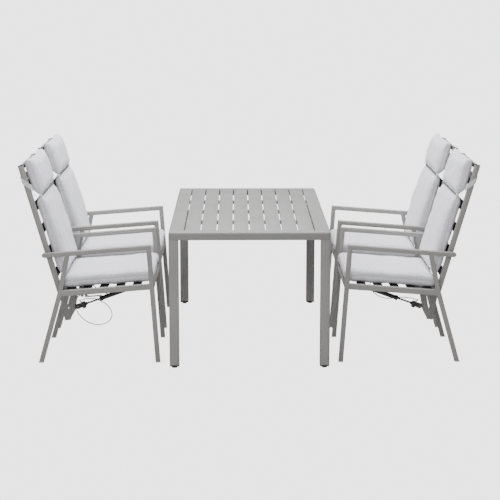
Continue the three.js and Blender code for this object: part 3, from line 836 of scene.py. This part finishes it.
def release_lever():
    """A flat pull under the seat rail, held by two cheeks on its pin."""
    reach = 0.020
    under = RAIL_Z + SLOPE * reach - 0.016
    tip = (reach, under - 0.0115)
    heel = (LEVER_PIVOT.x + 0.012, LEVER_PIVOT.y - 0.003)
    y0, y1 = -OUTER + 0.0015, -INNER - 0.0015
    shapes = []
    dip = ((heel[0] + tip[0]) / 2, (heel[1] + tip[1]) / 2 - 0.0005)
    shapes.append(shape(tube, [heel, dip, tip], 0.004, (y0, y1), 0.0018))
    for low, high in ((y0, y0 + 0.005), (y1 - 0.005, y1)):
        shapes.append(shape(pin_across, LEVER_PIVOT, 0.0064, (low, high), steps=28))
        link = [tuple(LEVER_PIVOT), (heel[0] + 0.006, heel[1])]
        shapes.append(shape(tube, link, 0.006, (low, high), 0.001))
    whole = fused(shapes)
    return bored(whole, shape(pin_across, LEVER_PIVOT, 0.0033, (-OUTER, -INNER), steps=24))


def smooth_route(points, steps=4):
    """Points on the smooth curve through a cable's route, in metres."""
    places = [Vector(p) / 1000 for p in points]
    ends = [2 * places[0] - places[1], *places, 2 * places[-1] - places[-2]]
    route = []
    for i in range(len(places) - 1):
        p = ends[i : i + 4]
        knots = [0.0]
        for a, b in zip(p, p[1:]):
            knots.append(knots[-1] + math.sqrt((b - a).length))
        for k in range(steps):
            t = knots[1] + (knots[2] - knots[1]) * k / steps
            a = [
                p[j] * ((knots[j + 1] - t) / (knots[j + 1] - knots[j]))
                + p[j + 1] * ((t - knots[j]) / (knots[j + 1] - knots[j]))
                for j in range(3)
            ]
            b = [
                a[j] * ((knots[j + 2] - t) / (knots[j + 2] - knots[j]))
                + a[j + 1] * ((t - knots[j]) / (knots[j + 2] - knots[j]))
                for j in range(2)
            ]
            route.append(
                b[0] * ((knots[2] - t) / (knots[2] - knots[1]))
                + b[1] * ((t - knots[1]) / (knots[2] - knots[1]))
            )
    return [*route, places[-1]]


def round_run(bm, route, radius, sides=12, widths=None):
    """A round tube along a route, without twist."""
    rings = []
    side = None
    for i, point in enumerate(route):
        heading = (route[min(i + 1, len(route) - 1)] - route[max(i - 1, 0)]).normalized()
        side = side or heading.orthogonal()
        side = (side - heading * side.dot(heading)).normalized()
        other = heading.cross(side)
        r = radius * (widths[i] if widths else 1)
        rings.append(
            [
                point + r * (math.cos(a) * side + math.sin(a) * other)
                for a in (2 * math.pi * k / sides for k in range(sides))
            ]
        )
    return loft(bm, rings)


def make_cables():
    for chair in CHAIR_PLACES:
        points = LOOPED_CABLE if chair in ("chair_1", "chair_2") else TUCKED_CABLE
        bm = bmesh.new()
        round_run(bm, smooth_route(points), CABLE_RADIUS, 14)
        mesh = finished(bm)
        place = chair_place(chair)
        mesh.transform(place)
        mesh.materials.append(CABLE_SHEATH)
        sheath = placed(f"{chair}_cable_sheath", mesh)
        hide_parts(f"{chair}_release_cable")
        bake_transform(sheath)


# ---- cushions ----

PAD_HALF, PAD_EDGE = 0.238, 0.020
NECK_N, NECK_U = 0.058, 0.5325  # the sewn neck's place ahead of the back, and up along it
FORWARD, UP = 0, 2
BACK_PAD_SIDE = [
    (22, 120), (30, 98), (60, 94), (74, 112), (78, 180), (83, 300),
    (78, 420), (66, 515), (56, 531), (44, 527), (22, 500),
]
HEAD_PAD_SIDE = [
    (24, 585), (50, 552), (66, 556), (72, 580), (73, 640),
    (70, 690), (58, 722), (40, 726), (27, 710), (24, 680),
]


def softened(outline, rounds=2, keep=0.17):
    """An outline in millimetres with its corners cut back, in metres."""
    points = [Vector(p) / 1000 for p in outline]
    for _ in range(rounds):
        cut = []
        for a, b in zip(points, points[1:] + points[:1]):
            cut += [a.lerp(b, keep), a.lerp(b, 1 - keep)]
        points = cut
    return points


def pad_form(outline):
    """A pad's loose form: one side outline carried across and drawn in at both ends."""
    low = Vector((min(p.x for p in outline), min(p.y for p in outline)))
    high = Vector((max(p.x for p in outline), max(p.y for p in outline)))
    middle, half = (low + high) / 2, (high - low) / 2
    stations = sorted(
        [(-PAD_HALF + PAD_EDGE * (1 - math.cos(a)), PAD_EDGE * 0.88 * (1 - math.sin(a)))
         for a in (math.radians(90 * k / 6) for k in range(7))]
    )
    rings = []
    for y, inset in stations + [(-y, inset) for y, inset in reversed(stations)]:
        shrink = Vector(((half.x - inset) / half.x, (half.y - inset) / half.y))
        ring = []
        for p in outline:
            x = middle.x + (p.x - middle.x) * shrink.x
            z = middle.y + (p.y - middle.y) * shrink.y
            ring.append((x, y, z))
        rings.append(ring)
    bm = bmesh.new()
    loft(bm, rings)
    return finished(bm)


def seat_pad_outline():
    return [
        Vector((0.058 + a, 0.053 + b)) for a, b in rounded_section(0.484, 0.066, 0.023, 5)
    ]


def filled(forms, most):
    """Each loose form given an even skin, blown up as cloth no further than most, and refined."""
    scene = bpy.context.scene
    pads = []
    for form in forms:
        pad = placed("pad", form)
        even = pad.modifiers.new("even", "REMESH")
        even.mode, even.voxel_size = "VOXEL", 0.0065
        baked(pad)
        pads.append(pad)
    before = [places(pad.data) for pad in pads]
    for pad in pads:
        cloth = pad.modifiers.new("filling", "CLOTH")
        cloth.settings.quality = 4
        cloth.settings.use_pressure = True
        cloth.settings.uniform_pressure_force = 4
        cloth.settings.effector_weights.gravity = 0
    for number in range(1, 21):
        scene.frame_set(number)
    graph = bpy.context.evaluated_depsgraph_get()
    for pad, start, limit in zip(pads, before, most):
        blown = pad.evaluated_get(graph).to_mesh()
        move = places(blown) - start
        pad.evaluated_get(graph).to_mesh_clear()
        length = np.maximum(np.linalg.norm(move, axis=1, keepdims=True), 1e-9)
        eased = limit * np.tanh(length / limit)
        pad.modifiers.clear()
        pad.data.vertices.foreach_set("co", (start + move / length * eased).ravel())
    scene.frame_set(1)
    meshes = []
    for pad in pads:
        finer = pad.modifiers.new("finer", "SUBSURF")
        finer.levels = finer.render_levels = 1
        meshes.append(baked(pad))
        bpy.data.objects.remove(pad)
    return meshes


def side_seam(place, facing, middle, axis):
    """How far each point of a pad's skin is drawn in by the seam round its sides."""
    from_seam = np.abs(place[:, axis] - middle)
    sideways = np.clip(1.6 * (0.75 - np.abs(facing[:, axis])), 0, 1)
    return -0.0024 * np.exp(-((from_seam / 0.0035) ** 2)) * sideways


def brought_to_size(mesh, low, high):
    """The mesh grown evenly along each axis to fill its own room."""
    place = places(mesh)
    least, most = place.min(0), place.max(0)
    room = np.array(high) - np.array(low)
    mesh.vertices.foreach_set("co", ((place - least) / (most - least) * room + np.array(low)).ravel())
    mesh.update()
    return mesh


def rumpled(place, offset, size, amount):
    shift = Vector(offset)
    return np.array([amount * noise.noise(Vector(p) / size + shift) for p in place])


def neck_gathers(place, u):
    """Small folds that run out from the sewn neck between back and head."""
    near = np.exp(-np.abs(place[:, 2] - u) / 0.030)
    phase = 2 * math.pi * place[:, 1] / 0.023 + 1.7 * np.sin(place[:, 1] * 31)
    return 0.0016 * near * np.sin(phase)


def sewn_pad(mesh, number, middle, axis, low, high, neck=None):
    """One pad with its seam, folds and slight rumples, kept inside its own room."""
    pad = mesh.copy()
    place, facing = places(pad), facings(pad)
    move = side_seam(place, facing, middle, axis)
    move += rumpled(place, (number * 7.3, 1.1, 4.2), 0.085, 0.0040)
    move += rumpled(place, (number * 3.1, 8.4, 0.6), 0.030, 0.0015)
    if neck is not None:
        move += neck_gathers(place, neck)
    place = np.clip(place + facing * move[:, None], low, high)
    pad.vertices.foreach_set("co", place.ravel())
    pad.update()
    pad.shade_smooth()
    return cloth_uv(pad)


def neck_seam():
    """The narrow sewn neck, gathered along its length."""
    bm = bmesh.new()
    steps = 120
    route = [Vector((NECK_N, (2 * k / steps - 1) * 0.232, NECK_U)) for k in range(steps + 1)]
    widths = [
        1 + 0.13 * math.sin(2 * math.pi * p.y / 0.0115 + 1.3 * math.sin(p.y * 40)) for p in route
    ]
    round_run(bm, route, 0.0068, 16, widths)
    return cloth_uv(finished(bm, 60))


def neck_knots():
    """Tied ends of the neck at both sides."""
    bm = bmesh.new()
    for side in (-1, 1):
        first = len(bm.verts)
        bmesh.ops.create_icosphere(bm, subdivisions=4, radius=0.0092)
        bm.verts.ensure_lookup_table()
        for v in bm.verts[first:]:
            fold = noise.noise(v.co * 190 + Vector((side * 3.0, 0, 0)))
            v.co *= 1 + 0.16 * fold
            v.co.y *= 0.72
            v.co += Vector((0.054, side * 0.2378, NECK_U))
    return cloth_uv(finished(bm, 60))


def head_band():
    """The band from the head pad round behind the rails, sewn into the pad at both ends."""
    gap = BACK_HALF + 0.0017
    behind, ahead = -0.0174, 0.0245
    rear_u, front_u, half = 0.640, 0.586, 0.0185
    path = [
        (ahead, 0.2415), (ahead, gap - 0.006), (ahead - 0.006, gap), (0.006, gap),
        (behind + 0.006, gap), (behind, gap - 0.006), (behind, 0.20), (behind, 0.10), (behind, 0.0),
    ]
    path += [(n, -y) for n, y in reversed(path[:-1])]
    rings = []
    for i, (n, y) in enumerate(path):
        a, b = Vector(path[max(i - 1, 0)]), Vector(path[min(i + 1, len(path) - 1)])
        heading = (b - a).normalized()
        out = Vector((-heading.y, heading.x)) * 0.0009
        share = (n - behind) / (ahead - behind)
        u = rear_u + (front_u - rear_u) * share
        rings.append(
            [
                (n + out.x, y + out.y, u - half), (n + out.x, y + out.y, u + half),
                (n - out.x, y - out.y, u + half), (n - out.x, y - out.y, u - half),
            ]
        )
    bm = bmesh.new()
    loft(bm, rings)
    return cloth_uv(finished(bm))


def make_cushions():
    forms = [
        pad_form(seat_pad_outline()),
        pad_form(softened(BACK_PAD_SIDE)),
        pad_form(softened(HEAD_PAD_SIDE)),
    ]
    seat, back, head = filled(forms, (0.0095, 0.0090, 0.0070))
    half, side = 0.2446, 0.2458  # half the width of a smooth pad, and of the room for its rumples
    brought_to_size(seat, (-0.190, -half, 0.0150), (0.3070, half, 0.0940))
    brought_to_size(back, (0.0160, -half, 0.0915), (0.0905, half, 0.5303))
    brought_to_size(head, (0.0160, -half, 0.5347), (0.0840, half, 0.7365))
    seat_room = ((-0.192, -side, 0.0150), (0.3085, side, 0.0955))
    back_room = ((0.0156, -side, 0.0908), (0.0925, side, 0.5320))
    head_room = ((0.0156, -side, 0.5330), (0.0885, side, 0.7385))
    for number, chair in enumerate(CHAIR_PLACES):
        pads = [
            ("seat_pad", sewn_pad(seat, number, 0.054, UP, *seat_room),
             "frame", SEAT_PLACE, ["seat_cushion"], 0.6),
            ("back_pad", sewn_pad(back, number + 4, 0.047, FORWARD, *back_room, NECK_U),
             "back", BACK_PLACE, ["back_cushion"], 0.7),
            ("head_pad", sewn_pad(head, number + 8, 0.047, FORWARD, *head_room, NECK_U),
             "back", BACK_PLACE, ["back_cushion"], 0.7),
        ]
        for name, mesh, body, local, stands_for, fill in pads:
            piece = on_every_chair(name, mesh, CUSHION_CLOTH, body, local, stands_for, [chair])[0]
    # The neck's dark cloth is painted shade in the valley between the pads.
    on_every_chair("neck_seam", neck_seam(), SEAM_CLOTH_PAINTED_SHADE, "back", BACK_PLACE, ["back_cushion"])
    on_every_chair("neck_knots", neck_knots(), BAND_CLOTH, "back", BACK_PLACE, ["back_cushion"])
    on_every_chair("head_band", head_band(), BAND_CLOTH, "back", BACK_PLACE, ["back_cushion"])


def make_chairs():
    on_every_chair("left_side", side_frame(1), FRAME_COAT, "frame", None, ["side_frame_left"])
    on_every_chair("right_side", side_frame(-1), FRAME_COAT, "frame", None, ["side_frame_right"])
    for side, word in ((1, "left"), (-1, "right")):
        on_every_chair(f"{word}_glides", glides(side), GLIDE_NYLON, "frame")
    on_every_chair("seat_ladder", seat_ladder(), FRAME_COAT, "frame", SEAT_PLACE, ["seat_frame"])
    on_every_chair("back_ladder", back_ladder(), FRAME_COAT, "back", BACK_PLACE, ["back_frame"])
    on_every_chair("rail_caps", rail_caps(), FOOT_NYLON, "back", BACK_PLACE)
    on_every_chair("seat_straps", seat_strap_set(), STRAP_CLOTH, "frame", SEAT_PLACE, ["seat_webbing"])
    on_every_chair("back_straps", back_strap_set(), STRAP_CLOTH, "back", BACK_PLACE, ["back_webbing"])
    on_every_chair("cylinder", spring_cylinder(), SPRING_PAINT, "cylinder", SPRING_PLACE, ["gas_cylinder"])
    on_every_chair("rod", spring_rod(), BLACK_OXIDE, "rod", SPRING_PLACE, ["gas_rod"])
    on_every_chair("lever", release_lever(), FRAME_COAT, "lever", None, ["release_lever"])


# ---- camera, floor and light ----


def set_camera():
    lens = bpy.data.cameras.new("camera")
    lens.lens, lens.sensor_width = 104.36, 36
    camera = placed("camera", lens)
    camera.location = (-0.0713, -8.2868, 2.0716)
    camera.rotation_euler = (math.radians(90 - 10.793), 0, math.radians(-0.56))
    bpy.context.scene.camera = camera


def soft_light(name, place, target, size, power):
    lamp = bpy.data.lights.new(name, "AREA")
    lamp.shape, lamp.size, lamp.energy = "SQUARE", size, power
    light = placed(name, lamp)
    light.location = place
    light.rotation_euler = (Vector(target) - Vector(place)).to_track_quat("-Z", "Y").to_euler()


def bright_to_the_eye(tree, out, plain, seen):
    """Plain light or floor for everything else, and an even pale tone where it is looked at."""
    path = add(tree, "ShaderNodeLightPath")
    chosen = add(tree, "ShaderNodeMixShader", {0: path.outputs["Is Camera Ray"]})
    tree.links.new(plain, chosen.inputs[1])
    tree.links.new(seen, chosen.inputs[2])
    tree.links.new(chosen.outputs[0], out)


PALE, EVEN = (1.0, 1.0, 1.0, 1.0), 3.2  # the floor's and surroundings' look, and its strength


def set_stage():
    bm = bmesh.new()
    under = Matrix.Translation((0, 0, -0.0005))  # a hair below the feet
    bmesh.ops.create_grid(bm, x_segments=4, y_segments=4, size=40, matrix=under)
    mesh = bpy.data.meshes.new("floor")
    bm.to_mesh(mesh)
    bm.free()
    pale = bpy.data.materials.new("pale floor")
    pale.use_nodes = True
    tree = pale.node_tree
    tree.nodes.clear()
    out = add(tree, "ShaderNodeOutputMaterial").inputs["Surface"]
    matt = add(tree, "ShaderNodeBsdfDiffuse", {"Color": (0.42, 0.42, 0.42, 1)}).outputs[0]
    seen = add(tree, "ShaderNodeEmission", {"Color": PALE, "Strength": EVEN}).outputs[0]
    bright_to_the_eye(tree, out, matt, seen)
    mesh.materials.append(pale)
    placed("floor", mesh)

    world = bpy.data.worlds.new("studio")
    world.use_nodes = True
    tree = world.node_tree
    tree.nodes.clear()
    out = add(tree, "ShaderNodeOutputWorld").inputs["Surface"]
    around = add(tree, "ShaderNodeBackground", {"Color": PALE, "Strength": 0.52}).outputs[0]
    seen = add(tree, "ShaderNodeBackground", {"Color": PALE, "Strength": EVEN}).outputs[0]
    bright_to_the_eye(tree, out, around, seen)
    bpy.context.scene.world = world
    soft_light("overhead", (-0.2, 0.3, 4.2), (0, 0.1, 0.5), 4.0, 510)
    soft_light("front", (-1.2, -6.0, 3.4), (0, 0, 0.5), 3.5, 165)


set_camera()
make_cables()
make_table()
make_chairs()
make_cushions()
set_stage()
